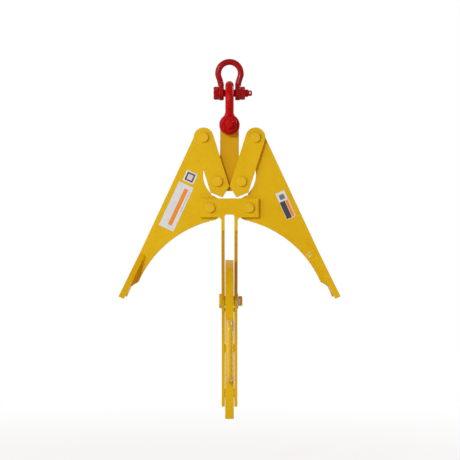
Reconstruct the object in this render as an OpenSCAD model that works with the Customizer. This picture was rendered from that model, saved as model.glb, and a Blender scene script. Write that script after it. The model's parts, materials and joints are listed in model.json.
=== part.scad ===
// Pipe grab: two arms press on the crown of a pipe while a split hook holds it from both sides.
// The origin is on the axis of the carried pipe, which runs along X. The grab hangs from its top shackle.
// Y is front to back, with the single swinging hook in front and the fixed double hook behind.

/* [Pipe seat] */
// Outside diameter of the pipe
pipe_d = 457.2; // [400:0.1:520]
// Radial room between the pipe and the throat of the hooks
seat_room = 1.4; // [0.8:0.1:3]

/* [Hooks] */
// Width of the hook band from throat to back
band_w = 97.5; // [84:0.5:110]
// Thickness of the swinging front hook
front_hook_t = 25.4; // [20:0.1:30]
// Thickness of each cheek plate of the rear hook
cheek_t = 10; // [8:0.5:14]
// Gap between the front hook and each cheek
hook_side_gap = 2.4; // [1.5:0.1:4]
// How far the hook tips reach below the pipe axis
tip_drop = 142; // [138:1:160]
// How far the back of each hook runs below the pipe axis
nose_drop = 136; // [120:1:145]
// Rise of the hook's pivot above the horizontal, in degrees
pivot_rise = 44; // [40:1:46]
// Diameter of the hook's pivot pin
pivot_d = 32; // [26:1:36]
// Diameter of the stop pin in the heel of the hook
stop_d = 14; // [10:1:16]
// Distance of the stop pin from the pivot
stop_reach = 40; // [36:1:42]
// Angle that the front hook swings open
hook_swing = 32; // [20:1:33]
// Diameter of the bars that tie the cheeks together
spacer_d = 22; // [16:1:30]
// Diameter of the handle's bar
handle_d = 17; // [12:1:20]
// Clear depth between the handle and the pipe seat's tangent
handle_reach = 50; // [35:1:70]
// Height of the handle's upper end above the pipe axis
handle_top = 157; // [140:1:165]
// Depth of the handle's lower end below the pipe axis
handle_bottom = 24; // [10:1:40]

/* [Yoke] */
// Height of the yoke pins above the back of the hooks
yoke_rise = 160.5; // [150:0.5:180]
// Distance of each yoke pin from the centre
yoke_pin_x = 60.3; // [56:0.1:66]
// Width of each yoke plate
yoke_w = 179.6; // [160:0.1:200]
// Height of the yoke plate's head
yoke_h = 58.6; // [50:0.1:60]
// Length of the prongs below the yoke plate's head
prong_len = 41.5; // [30:0.5:50]
// How far the slot rises into the head
slot_rise = 9.1; // [6:0.1:12]
// Corner radius at the top of the slot
slot_corner_r = 7; // [3:0.5:9]
// Fillet radius between head and prong
prong_fillet_r = 11; // [6:0.5:14]
// Radius of the curved front edge below the prongs
stem_front_r = 1100; // [900:10:1500]
// Lean of that edge where it starts, in degrees
stem_front_lean = 24; // [18:1:28]
// Lean of the rear hook's stem at its rear edge, in degrees
stem_rear_lean = 38; // [30:1:42]

/* [Arms and feet] */
// Thickness of the arms and of the bail
plate_t = 25.4; // [19:0.1:26]
// Lean of the arm's outer edge, in degrees
arm_lean = 25; // [22:0.5:27]
// Arm head pin, measured outwards from the yoke pin
arm_head_x = 19.7; // [16:0.1:24]
// Radius of the arm's head
arm_head_r = 28; // [24:0.5:29]
// Radius of the arm's boss at the yoke pin
arm_boss_r = 39.7; // [34:0.1:42]
// Radius of the arm's concave lower edge
arm_arc_r = 332; // [300:1:360]
// How far the centre of that edge lies past the middle of the grab
arm_arc_x = 22.5; // [10:0.5:30]
// Radius of the cut-out that clears the foot of the bail
cutout_r = 81.9; // [78:0.1:84]
// Height of that cut-out's centre above the lower link pins
cutout_rise = 22.5; // [18:0.5:26]
// Height of the arm's lower end above the pipe seat
arm_end_rise = 29; // [22:0.5:36]
// Thickness of the foot plates
foot_t = 18; // [14:0.5:22]
// Width of the foot at its lower end
foot_w = 190; // [150:1:220]
// Width of the foot at its upper end
foot_top_w = 32; // [28:1:60]
// Length of the foot from its top to the crown of its notch
foot_len = 120; // [100:1:140]
// Gap between the closed foot and the pipe seat
foot_gap = 0.5; // [0.3:0.1:2]

/* [Links and bail] */
// Thickness of each link and of each yoke plate
side_t = 12.7; // [10:0.1:16]
// Gap between the middle plates and the side plates
side_gap = 1; // [0.5:0.1:1.5]
// Distance between a link's pins
link_len = 142.5; // [138:0.1:147]
// Width of a link
link_w = 61.2; // [58:0.1:62]
// Length of the link's point below its lower pin
link_point = 50.4; // [46:0.1:52]
// Gap between the toes of the two closed links
toe_gap = 0.8; // [0.4:0.1:2]
// Gap between the closed toes and the yoke, which the links take up as they open
toe_rise = 3.8; // [2:0.1:6]
// Distance of each lower link pin from the centre
bail_pin_x = 37; // [36:0.1:39]
// Distance from the lower link pins up to the shackle bolt
bail_len = 174.6; // [170:0.1:182]
// Width of the bail's bar
bail_w = 57.8; // [50:0.1:60]
// Radius of the bail's lower corners
bail_foot_r = 29; // [24:0.5:30]

/* [Pins] */
// Diameter of the link and yoke pins
pin_d = 25; // [20:0.5:26]
// Diameter of the pin heads
pin_head_d = 31; // [28:0.5:36]
// Thickness of the pin heads
pin_head_t = 8; // [4:0.5:10]
// Radial room of a pin in the hole that turns on it
turn_room = 0.3; // [0.2:0.05:0.5]
// Radial room of a pin in the hole that holds it
hold_room = 0.1; // [0.05:0.05:0.2]
// Thickness of the washers
washer_t = 3; // [2:0.5:4]
// Rim of the washers around their pin
washer_rim = 8; // [5:0.5:10]
// Diameter of the split pins
split_d = 5; // [3:0.5:6]
// Length of the pin's end past its washer
pin_tail = 13; // [11:0.5:18]

/* [Upper shackle] */
// Diameter of the upper bow's bar
upper_bar_d = 19; // [17:0.5:21]
// Gap between the upper bow's ears
upper_jaw = 34.6; // [32:0.1:38]
// Thickness of the upper bow's ears
upper_ear_t = 16; // [14:0.5:18]
// Radius of the upper bow's ears
upper_ear_r = 22.5; // [20:0.5:25]
// Inside width of the upper bow
upper_bow_w = 51; // [48:0.5:54]
// Inside length of the upper bow from the bolt's axis
upper_bow_len = 87; // [82:0.5:95]
// Height of the upper bow's straight legs above the bolt's axis
upper_leg_z = 9.5; // [6:0.5:14]
// Diameter of the upper bolt
upper_bolt_d = 23; // [20:0.5:24]

/* [Lower shackle] */
// Diameter of the lower bow's bar
lower_bar_d = 26; // [24:0.5:28]
// Gap between the lower bow's ears
lower_jaw = 43; // [40:0.5:48]
// Thickness of the lower bow's ears
lower_ear_t = 23; // [20:0.5:25]
// Radius of the lower bow's ears
lower_ear_r = 31.5; // [29:0.5:34]
// Inside width of the lower bow
lower_bow_w = 68; // [64:0.5:74]
// Inside length of the lower bow from the bolt's axis
lower_bow_len = 110.8; // [106:0.1:120]
// Height of the lower bow's straight legs above the bolt's axis
lower_leg_z = 21.3; // [16:0.1:24]
// Diameter of the lower bolt
lower_bolt_d = 28.7; // [26:0.1:30]

/* [Hidden] */
$fn = 96;

// Seat, band and pivot of the hooks
seat_r = pipe_d / 2 + seat_room;
band_r = seat_r + band_w;
mid_r = seat_r + band_w / 2;
tip_y = sqrt(seat_r * seat_r - tip_drop * tip_drop);
nose_y = sqrt(band_r * band_r - nose_drop * nose_drop);
pivot_y = mid_r * cos(pivot_rise);
pivot_z = mid_r * sin(pivot_rise);
heel_angle = pivot_rise - 90;
heel_wall = stop_reach - stop_d / 2 - 1;
stop_half_angle = asin((stop_d / 2 + 0.6) / stop_reach);
slot_half = front_hook_t / 2 + hook_side_gap;
cheek_x = slot_half + cheek_t;

// Degrees by which the bends of a shackle run into each other, and the extra radius that takes them in
bend_lap = 0.8;
bend_rim = 0.06;

// Stack of plates front to back
mid_half = plate_t / 2;
side_in = mid_half + side_gap;
side_out = side_in + side_t;

// Yoke, arm and link centres in the closed pose
yoke_z = band_r + yoke_rise;
head_bottom = yoke_z - yoke_h / 2;
prong_end = head_bottom - prong_len;
throat_z = seat_r * 0.7;
stem_fillet_r = (pow(side_in, 2) + pow(prong_end, 2) - pow(band_r, 2))
    / (2 * (band_r - side_in * cos(stem_rear_lean) - prong_end * sin(stem_rear_lean)));
stem_fillet_y = side_in + stem_fillet_r * cos(stem_rear_lean);
stem_fillet_z = prong_end + stem_fillet_r * sin(stem_rear_lean);
stem_touch_y = stem_fillet_y * band_r / (band_r + stem_fillet_r);
stem_touch_z = stem_fillet_z * band_r / (band_r + stem_fillet_r);
arm_x = yoke_pin_x + arm_head_x;
link_lean = asin((arm_x - bail_pin_x) / link_len);
bail_pin_z = yoke_z + yoke_h / 2 + toe_rise + link_point * cos(link_lean);
arm_z = bail_pin_z + link_len * cos(link_lean);
cutout_z = bail_pin_z + cutout_rise;
link_shoulder = (bail_pin_x - link_w / 2 * cos(link_lean) - toe_gap / 2) / sin(link_lean);
lower_bolt_z = bail_pin_z + bail_len;
upper_bolt_z = lower_bolt_z + lower_bow_len - upper_bolt_d / 2 - turn_room;

// Centre of the arm's lower edge, tangent to its boss
arc_z = yoke_z - sqrt(pow(arm_arc_r + arm_boss_r, 2) - pow(yoke_pin_x + arm_arc_x, 2));
arm_end_z = seat_r + arm_end_rise;
arm_end_x = sqrt(pow(arm_arc_r, 2) - pow(arm_end_z - arc_z, 2)) - arm_arc_x;

// Foot along the arm's outer edge, measured down the slope from the arm's head pin
foot_crown_z = seat_r + foot_gap + foot_t * sin(arm_lean);
foot_crown_s = (arm_z + arm_head_r * sin(arm_lean) - foot_crown_z) / cos(arm_lean);
foot_top_s = foot_crown_s - foot_len;
notch_r = seat_r * cos(arm_lean);
foot_corner_s = foot_crown_s + notch_r - sqrt(pow(notch_r, 2) - pow(foot_w / 2, 2));
arm_foot_margin = 17;

// A point of the arm, s down the slope from its head pin and e outwards
function edge_point(s, e) = [
    arm_x + s * sin(arm_lean) + e * cos(arm_lean),
    arm_z - s * cos(arm_lean) + e * sin(arm_lean)
];

// Stands a flat outline of X and Z upright, from y0 to y1
module upright(y0, y1) {
    translate([0, y1, 0]) rotate([90, 0, 0]) linear_extrude(y1 - y0) children();
}

// Stands a flat outline of Y and Z upright, from x0 to x1
module sideways(x0, x1) {
    translate([x0, 0, 0]) rotate([90, 0, 90]) linear_extrude(x1 - x0) children();
}

// Round bar along X
module bar_x(x0, x1, r) {
    translate([x0, 0, 0]) rotate([0, 90, 0]) cylinder(h = x1 - x0, r = r);
}

// Round bar along Y
module bar_y(y0, y1, r) {
    translate([0, y1, 0]) rotate([90, 0, 0]) cylinder(h = y1 - y0, r = r);
}

// Disc along Z with a chamfered rim at its top
module chamfered_disc(r, h, chamfer) {
    rotate_extrude() polygon([[0, 0], [r, 0], [r, h - chamfer], [r - chamfer, h], [0, h]]);
}

// Six-sided nut or bolt head along Z, its corners turned off at the top
module hex_block(corner_d, h) {
    intersection() {
        cylinder(d = corner_d, h = h, $fn = 6);
        chamfered_disc(corner_d / 2, h, corner_d * 0.07);
    }
}

// Ring with a round section, bent from a0 to a1 around Y
module bent_bar(r, bar_r, a0, a1) {
    rotate([90, 0, 0]) rotate([0, 0, a0]) rotate_extrude(angle = a1 - a0) translate([r, 0]) circle(bar_r);
}

// Shackles

// Forged ear of a shackle along X, its rims eased
module shackle_ear(r, t) {
    e = t * 0.2;
    rotate([0, 90, 0]) translate([0, 0, -t / 2]) rotate_extrude() polygon([
        [0, 0], [r - e, 0], [r - e * 0.3, e * 0.3], [r, e],
        [r, t - e], [r - e * 0.3, t - e * 0.3], [r - e, t], [0, t]
    ]);
}

// Flare between a leg's round bar and its flat ear: a cone along Z, pressed flat
module shackle_neck(bar_r, ear_r, ear_half) {
    low = ear_r * 0.2;
    high = ear_r * 1.5;
    intersection() {
        translate([0, 0, -low]) cylinder(h = low + high, r1 = ear_r * 0.97, r2 = bar_r * 0.7);
        translate([-ear_half, -ear_r, -low]) cube([2 * ear_half, 2 * ear_r, low + high]);
    }
}

// Room for a bolt head or nut beside its ear
function nut_room(bolt_d) = bolt_d * 0.9 + 1;

// Anchor bow: a round crown that runs through two reversed bends into its legs and ears, bolt along X
module shackle_bow(bar_d, jaw, ear_t, ear_r, bow_w, bow_len, bolt_d, leg_z) {
    bar_r = bar_d / 2;
    crown_r = bow_w / 2 + bar_r;
    crown_z = bow_len + bar_r - crown_r;
    leg_x = jaw / 2 + ear_t / 2;
    drop = crown_z - leg_z;
    waist_r = (drop * drop / (crown_r - leg_x) - (crown_r + leg_x)) / 2;
    turn = atan2(drop, leg_x + waist_r);
    difference() {
        union() {
            difference() {
                union() {
                    translate([0, 0, crown_z]) bent_bar(crown_r, bar_r + bend_rim, -turn, 180 + turn);
                    for (side = [0, 1]) mirror([side, 0, 0]) {
                        translate([leg_x + waist_r, 0, leg_z])
                            bent_bar(waist_r, bar_r, 180 - turn - bend_lap, 180 + bend_lap);
                        translate([leg_x, 0, 0]) cylinder(h = leg_z, r = bar_r + bend_rim);
                    }
                }
                bar_x(-jaw / 2 - 0.5, jaw / 2 + 0.5, ear_r + 1);
                for (side = [0, 1]) mirror([side, 0, 0])
                    bar_x(jaw / 2 + ear_t - 0.5, jaw / 2 + 2 * ear_t, nut_room(bolt_d));
            }
            for (side = [-1, 1]) translate([side * leg_x, 0, 0]) {
                shackle_neck(bar_r, ear_r, ear_t / 2 - 0.8);
                shackle_ear(ear_r, ear_t);
            }
        }
        bar_x(-jaw / 2 - ear_t - 1, jaw / 2 + ear_t + 1, bolt_d / 2 + hold_room);
    }
}

// Bolt along X with its head on the left, a screwed length and a drilled dog end
module shackle_bolt(bolt_d, jaw, ear_t) {
    ear_x = jaw / 2 + ear_t + 0.1;
    head_t = bolt_d * 0.68;
    screw_end = ear_x + bolt_d * 1.04;
    dog_end = screw_end + bolt_d * 0.54;
    dog_r = bolt_d * 0.385;
    difference() {
        union() {
            translate([-ear_x, 0, 0]) rotate([0, -90, 0]) hex_block(bolt_d * 1.8, head_t);
            bar_x(-ear_x, ear_x, bolt_d / 2);
            translate([ear_x, 0, 0]) rotate([0, 90, 0]) chamfered_disc(bolt_d / 2, screw_end - ear_x, 1.5);
            translate([screw_end, 0, 0]) rotate([0, 90, 0]) chamfered_disc(dog_r, dog_end - screw_end, 3);
        }
        translate([cotter_x(bolt_d, jaw, ear_t), 0, 0]) bar_y(-bolt_d, bolt_d, bolt_d * 0.1);
    }
}

// Middle of the split pin's hole in a shackle bolt
function cotter_x(bolt_d, jaw, ear_t) = jaw / 2 + ear_t + 0.1 + bolt_d * (1.04 + 0.54 * 0.45);

// Split pin through the bolt's end, along Y, with its eye at the front
module shackle_split_pin(bolt_d, jaw, ear_t) {
    pin_r = bolt_d * 0.1 - hold_room;
    wire_r = pin_r * 0.6;
    eye_r = pin_r * 1.9;
    dog_r = bolt_d * 0.385;
    translate([cotter_x(bolt_d, jaw, ear_t), 0, 0]) {
        bar_y(-dog_r - wire_r, dog_r + pin_r * 2.5, pin_r);
        translate([0, -dog_r - eye_r, 0]) rotate([0, 90, 0]) rotate_extrude()
            translate([eye_r, 0]) circle(wire_r, $fn = 24);
    }
}

// Nut along X on the right of the bow
module shackle_nut(bolt_d, jaw, ear_t) {
    ear_x = jaw / 2 + ear_t + 0.1;
    difference() {
        translate([ear_x, 0, 0]) rotate([0, 90, 0]) hex_block(bolt_d * 1.8, bolt_d * 0.64);
        bar_x(ear_x - 1, ear_x + bolt_d, bolt_d / 2 + hold_room);
    }
}

module upper_shackle_bow() color("crimson") translate([0, 0, upper_bolt_z])
    shackle_bow(
        upper_bar_d, upper_jaw, upper_ear_t, upper_ear_r, upper_bow_w, upper_bow_len, upper_bolt_d, upper_leg_z
    );

module upper_shackle_bolt() color("firebrick") translate([0, 0, upper_bolt_z])
    shackle_bolt(upper_bolt_d, upper_jaw, upper_ear_t);

module upper_shackle_nut() color("firebrick") translate([0, 0, upper_bolt_z])
    shackle_nut(upper_bolt_d, upper_jaw, upper_ear_t);

module upper_shackle_split_pin() color("silver") translate([0, 0, upper_bolt_z])
    shackle_split_pin(upper_bolt_d, upper_jaw, upper_ear_t);

// The lower shackle is turned a quarter, so that its nut faces the front
module lower_shackle_bow() color("crimson") translate([0, 0, lower_bolt_z]) rotate([0, 0, -90])
    shackle_bow(
        lower_bar_d, lower_jaw, lower_ear_t, lower_ear_r, lower_bow_w, lower_bow_len, lower_bolt_d, lower_leg_z
    );

module lower_shackle_bolt() color("firebrick") translate([0, 0, lower_bolt_z]) rotate([0, 0, -90])
    shackle_bolt(lower_bolt_d, lower_jaw, lower_ear_t);

module lower_shackle_nut() color("firebrick") translate([0, 0, lower_bolt_z]) rotate([0, 0, -90])
    shackle_nut(lower_bolt_d, lower_jaw, lower_ear_t);

module lower_shackle_split_pin() color("silver") translate([0, 0, lower_bolt_z]) rotate([0, 0, -90])
    shackle_split_pin(lower_bolt_d, lower_jaw, lower_ear_t);

// Bail: a flat bar that widens below to take the two lower link pins
module bail() color("gold") difference() {
    flare_z = bail_pin_z + bail_foot_r * 2.8;
    lean = atan2(bail_pin_x + bail_foot_r - bail_w / 2, flare_z - bail_pin_z);
    union() {
        translate([0, 0, lower_bolt_z]) bar_y(-mid_half, mid_half, bail_w / 2);
        upright(-mid_half, mid_half) polygon([
            [-bail_w / 2, bail_pin_z], [bail_w / 2, bail_pin_z],
            [bail_w / 2, lower_bolt_z], [-bail_w / 2, lower_bolt_z]
        ]);
        for (side = [-1, 1])
            translate([side * bail_pin_x, 0, bail_pin_z]) bar_y(-mid_half, mid_half, bail_foot_r);
        upright(-mid_half, mid_half) polygon([
            [-bail_pin_x, bail_pin_z - bail_foot_r], [bail_pin_x, bail_pin_z - bail_foot_r],
            [bail_pin_x + bail_foot_r * cos(lean), bail_pin_z + bail_foot_r * sin(lean)],
            [bail_w / 2 - 4, flare_z + 4 / tan(lean)], [4 - bail_w / 2, flare_z + 4 / tan(lean)],
            [-bail_pin_x - bail_foot_r * cos(lean), bail_pin_z + bail_foot_r * sin(lean)]
        ]);
    }
    for (side = [-1, 1])
        translate([side * bail_pin_x, 0, bail_pin_z]) bar_y(-plate_t, plate_t, pin_d / 2 + turn_room);
    translate([0, 0, lower_bolt_z]) bar_y(-plate_t, plate_t, lower_bolt_d / 2 + turn_room);
}

// Link on the right side, from y0 to y1: round at the arm's head and pointed below,
// so that the toes of two links stop against each other and, when open, on the yoke
module link_plate(y0, y1) {
    half = link_w / 2;
    translate([arm_x, 0, arm_z]) rotate([0, link_lean, 0]) difference() {
        union() {
            bar_y(y0, y1, half);
            upright(y0, y1) polygon([
                [-half, 0], [half, 0], [half, -link_len - link_shoulder],
                [0, -link_len - link_point], [-half, -link_len - link_shoulder]
            ]);
        }
        for (z = [0, -link_len]) translate([0, 0, z]) bar_y(y0 - 1, y1 + 1, pin_d / 2 + hold_room);
    }
}

module right_link_front() color("gold") link_plate(-side_out, -side_in);
module right_link_rear() color("gold") link_plate(side_in, side_out);
module left_link_front() color("gold") mirror([1, 0, 0]) link_plate(-side_out, -side_in);
module left_link_rear() color("gold") mirror([1, 0, 0]) link_plate(side_in, side_out);

// Headed pin along Y, its head in front, drilled behind for a split pin
module headed_pin(r, head_r, head_t, reach, tail) {
    end = reach + washer_t + tail;
    difference() {
        union() {
            translate([0, -reach, 0]) rotate([90, 0, 0]) chamfered_disc(head_r, head_t, 1.5);
            bar_y(-reach, reach, r);
            translate([0, reach, 0]) rotate([-90, 0, 0]) chamfered_disc(r, end - reach, 2);
        }
        translate([0, split_y(reach), 0]) bar_x(-r * 2, r * 2, split_d / 2 + hold_room);
    }
}

// Place of a split pin behind its washer
function split_y(reach) = reach + washer_t + split_d / 2 + 0.3;

// Washer along Y behind the outer plate
module washer(r, reach) {
    difference() {
        bar_y(reach, reach + washer_t, r + washer_rim);
        bar_y(reach - 1, reach + washer_t + 1, r + hold_room);
    }
}

// Split pin across a headed pin, with its eye on the left and its legs on the right
module split_pin(r, reach) {
    eye_r = split_d * 0.9;
    wire_r = split_d * 0.28;
    leg = r + split_d * 1.2;
    translate([0, split_y(reach), 0]) {
        bar_x(-r - wire_r, leg, split_d / 2);
        translate([-r - eye_r, 0, 0]) rotate([90, 0, 0]) rotate_extrude() translate([eye_r, 0]) circle(wire_r, $fn = 24);
    }
}

module at_link_pin(side, low) {
    x = low ? bail_pin_x : arm_x;
    z = low ? bail_pin_z : arm_z;
    translate([side * x, 0, z]) children();
}

module link_pin(side, low) at_link_pin(side, low) headed_pin(pin_d / 2, pin_head_d / 2, pin_head_t, side_out, pin_tail);

module left_link_pin_upper() color("goldenrod") link_pin(-1, false);
module left_link_pin_lower() color("goldenrod") link_pin(-1, true);
module right_link_pin_upper() color("goldenrod") link_pin(1, false);
module right_link_pin_lower() color("goldenrod") link_pin(1, true);

module link_washers(side) for (low = [false, true]) at_link_pin(side, low) washer(pin_d / 2, side_out);
module link_split_pins(side) for (low = [false, true]) at_link_pin(side, low) split_pin(pin_d / 2, side_out);

module left_link_washers() color("silver") link_washers(-1);
module right_link_washers() color("silver") link_washers(1);
module left_link_split_pins() color("silver") link_split_pins(-1);
module right_link_split_pins() color("silver") link_split_pins(1);

// Arm: head, boss and blade, hollowed by the bail's cut-out and by the long arc of its lower edge
module arm() difference() {
    foot_face = arm_head_r - foot_t;
    union() {
        translate([arm_x, 0, arm_z]) bar_y(-mid_half, mid_half, arm_head_r);
        translate([yoke_pin_x, 0, yoke_z]) bar_y(-mid_half, mid_half, arm_boss_r);
        difference() {
            upright(-mid_half, mid_half) polygon([
                [arm_x - arm_head_r, arm_z],
                edge_point(0, arm_head_r),
                edge_point(foot_top_s, arm_head_r),
                edge_point(foot_top_s, foot_face),
                edge_point(foot_crown_s - arm_foot_margin, foot_face),
                [arm_end_x, arm_end_z],
                [yoke_pin_x, yoke_z - arm_boss_r],
                [yoke_pin_x, yoke_z],
                [arm_x - arm_head_r, cutout_z]
            ]);
            translate([-arm_arc_x, 0, arc_z]) bar_y(-plate_t, plate_t, arm_arc_r, $fn = 360);
        }
    }
    translate([0, 0, cutout_z]) bar_y(-plate_t, plate_t, cutout_r, $fn = 180);
    translate([arm_x, 0, arm_z]) bar_y(-plate_t, plate_t, pin_d / 2 + turn_room);
    translate([yoke_pin_x, 0, yoke_z]) bar_y(-plate_t, plate_t, pin_d / 2 + turn_room);
}

module right_arm() color("gold") arm();
module left_arm() color("gold") mirror([1, 0, 0]) arm();

// Foot: a plate across the arm's outer edge, spreading downwards, with a round notch for the pipe
module foot_outline() difference() {
    polygon([
        [-foot_top_w / 2, -foot_top_s], [foot_top_w / 2, -foot_top_s],
        [foot_w / 2, -foot_corner_s], [-foot_w / 2, -foot_corner_s]
    ]);
    translate([0, -foot_crown_s - notch_r]) circle(notch_r, $fn = 240);
}

module foot() translate([arm_x, 0, arm_z]) rotate([0, -arm_lean, 0]) translate([arm_head_r - foot_t, 0, 0])
    rotate([90, 0, 90]) linear_extrude(foot_t) foot_outline();

module right_foot() color("gold") foot();
module left_foot() color("gold") mirror([1, 0, 0]) foot();

// Yoke plate: a head over two prongs, with the slot that the front hook swings up into
module yoke_outline() {
    difference() {
        union() {
            translate([-yoke_w / 2, head_bottom]) square([yoke_w, yoke_h]);
            translate([-cheek_x, prong_end]) square([2 * cheek_x, prong_len + 1]);
            for (side = [-1, 1]) translate([side * cheek_x, head_bottom]) difference() {
                square(2 * prong_fillet_r, center = true);
                translate([side * prong_fillet_r, -prong_fillet_r]) circle(prong_fillet_r);
                translate([-prong_fillet_r - 1, -2 * prong_fillet_r - 1])
                    square([2 * prong_fillet_r + 2, prong_fillet_r + 1]);
            }
        }
        translate([-slot_half, prong_end - 1]) square([2 * slot_half, prong_len + 1 + slot_rise - slot_corner_r]);
        translate([-slot_half + slot_corner_r, prong_end - 1])
            square([2 * (slot_half - slot_corner_r), prong_len + 1 + slot_rise]);
        for (side = [-1, 1])
            translate([side * (slot_half - slot_corner_r), head_bottom + slot_rise - slot_corner_r])
                circle(slot_corner_r);
    }
}

module yoke_plate(y0, y1) difference() {
    upright(y0, y1) yoke_outline();
    for (side = [-1, 1])
        translate([side * yoke_pin_x, 0, yoke_z]) bar_y(y0 - 1, y1 + 1, pin_d / 2 + hold_room);
}

module yoke_plate_front() color("gold") yoke_plate(-side_out, -side_in);
module yoke_plate_rear() color("gold") yoke_plate(side_in, side_out);

module yoke_pin(side) translate([side * yoke_pin_x, 0, yoke_z])
    headed_pin(pin_d / 2, pin_head_d / 2, pin_head_t, side_out, pin_tail);

module yoke_pin_left() color("goldenrod") yoke_pin(-1);
module yoke_pin_right() color("goldenrod") yoke_pin(1);

module yoke_washers() color("silver") for (side = [-1, 1])
    translate([side * yoke_pin_x, 0, yoke_z]) washer(pin_d / 2, side_out);

module yoke_split_pins() color("silver") for (side = [-1, 1])
    translate([side * yoke_pin_x, 0, yoke_z]) split_pin(pin_d / 2, side_out);

// Hooks

// Ring between throat and back, cut off below by the sloping nose at the rear
module band_ring() difference() {
    circle(band_r, $fn = 360);
    circle(seat_r, $fn = 360);
}

// Height of the hook's lower edge, which slopes from the nose down to the tip
function edge_z(y) = (y - tip_y) * (tip_drop - nose_drop) / (nose_y - tip_y) - tip_drop;

// Everything below that edge, at the rear
module below_tip() {
    far = band_r * 1.2;
    polygon([[0, edge_z(0)], [far, edge_z(far)], [far, -far * 1.2], [0, -far * 1.2]]);
}

// Void in front of the rear hook: its front edge is an arc that leans back below the prongs
module stem_front() {
    difference() {
        translate([-band_r, throat_z]) square([band_r + throat_z, prong_end - throat_z + 1]);
        translate([
            stem_front_r * cos(stem_front_lean) - side_in,
            prong_end + stem_front_r * sin(stem_front_lean)
        ]) circle(stem_front_r, $fn = 720);
    }
}

module pivot_place(a, r) translate([0, pivot_y + r * cos(a), pivot_z + r * sin(a)]) children();

// Rear hook: the stem stands between the yoke plates and slopes back into the band behind the pipe
module cheek(x0, x1) {
    stem_top = head_bottom + slot_rise - 3;
    difference() {
        union() {
            translate([x0, -side_in, prong_end - 1]) cube([x1 - x0, 2 * side_in, stem_top - prong_end + 1]);
            sideways(x0, x1) polygon([
                [-side_in, prong_end - 0.5], [side_in, prong_end - 0.5], [stem_touch_y, stem_touch_z],
                [mid_r * cos(45), mid_r * sin(45)], [throat_z / 2, throat_z + 4], [-side_in, throat_z + 4]
            ]);
            sideways(x0, x1) intersection() {
                band_ring();
                translate([side_in, -band_r]) square([2 * band_r, 2 * band_r]);
            }
        }
        sideways(x0 - 1, x1 + 1) stem_front();
        sideways(x0 - 1, x1 + 1) below_tip();
        translate([0, stem_fillet_y, stem_fillet_z]) bar_x(x0 - 1, x1 + 1, stem_fillet_r, $fn = 360);
        bar_x(x0 - 1, x1 + 1, seat_r, $fn = 360);
        pivot_place(0, 0) bar_x(x0 - 1, x1 + 1, pivot_d / 2 + hold_room);
        pivot_place(heel_angle, stop_reach) bar_x(x0 - 1, x1 + 1, stop_d / 2 + hold_room);
    }
}

module hook_cheek_right() color("goldenrod") cheek(slot_half, cheek_x);
module hook_cheek_left() color("goldenrod") cheek(-cheek_x, -slot_half);

// Bars welded between the cheeks of the rear hook
module hook_spacer(a) translate([0, mid_r * cos(a), mid_r * sin(a)]) bar_x(-slot_half, slot_half, spacer_d / 2);

module hook_spacer_upper() color("goldenrod") hook_spacer(8);
module hook_spacer_lower() color("goldenrod") hook_spacer(-22);

module hook_stop_pin() color("silver") pivot_place(heel_angle, stop_reach) bar_x(-cheek_x, cheek_x, stop_d / 2);

// Pivot of the front hook along X: headed pin, washer and split pin
module at_pivot() pivot_place(0, 0) rotate([0, 0, -90]) children();

module hook_pivot_pin() color("silver") at_pivot()
    headed_pin(pivot_d / 2, pivot_d * 0.72, pin_head_t, cheek_x, pin_tail);

module hook_pivot_washer() color("silver") at_pivot() washer(pivot_d / 2, cheek_x);
module hook_pivot_split_pin() color("silver") at_pivot() split_pin(pivot_d / 2, cheek_x);

// Band of the front hook: from its pivot over the crown of the pipe to the tip in front
module hook_band() {
    far = band_r * 2;
    intersection() {
        band_ring();
        polygon([
            [0, 0], [far * cos(pivot_rise), far * sin(pivot_rise)], [0, far], [-far, far],
            [-far, -far], [-tip_y * 0.6, -far]
        ]);
    }
}

// Recess around the heel in which the stop pin lets the hook swing
module heel_notch() {
    from = heel_angle - stop_half_angle;
    to = heel_angle + stop_half_angle + hook_swing;
    mid = (from + to) / 2;
    far = band_w;
    intersection() {
        difference() {
            circle(band_w * 0.7);
            circle(heel_wall);
        }
        polygon([[0, 0], far * [cos(from), sin(from)], far * [cos(mid), sin(mid)], far * [cos(to), sin(to)]]);
    }
}

module front_hook() color("gold") difference() {
    half = front_hook_t / 2;
    union() {
        sideways(-half, half) hook_band();
        pivot_place(0, 0) bar_x(-half, half, band_w / 2 - 0.2);
    }
    sideways(-front_hook_t, front_hook_t) mirror([1, 0]) below_tip();
    sideways(-front_hook_t, front_hook_t) translate([pivot_y, pivot_z]) heel_notch();
    pivot_place(0, 0) bar_x(-front_hook_t, front_hook_t, pivot_d / 2 + turn_room);
}

// Handle: a round bar with both ends bent back to the hook
module hook_handle() color("gold") {
    bar_r = handle_d / 2;
    bend_r = handle_d * 1.4;
    grip_y = -band_r - handle_reach;
    high = handle_top - bar_r;
    low = bar_r - handle_bottom;
    difference() {
        union() {
            translate([0, grip_y, low + bend_r]) cylinder(h = high - low - 2 * bend_r, r = bar_r);
            for (end = [[high, 1], [low, -1]]) {
                translate([0, grip_y + bend_r, end[0]]) bar_y(0, band_r * 0.5, bar_r);
                translate([0, grip_y + bend_r, end[0] - end[1] * bend_r]) rotate([0, 90, 0])
                    rotate([0, 0, end[1] > 0 ? 180 : -90])
                        rotate_extrude(angle = 90) translate([bend_r, 0]) circle(bar_r);
            }
        }
        bar_x(-handle_d, handle_d, band_r, $fn = 360);
    }
}

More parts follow.
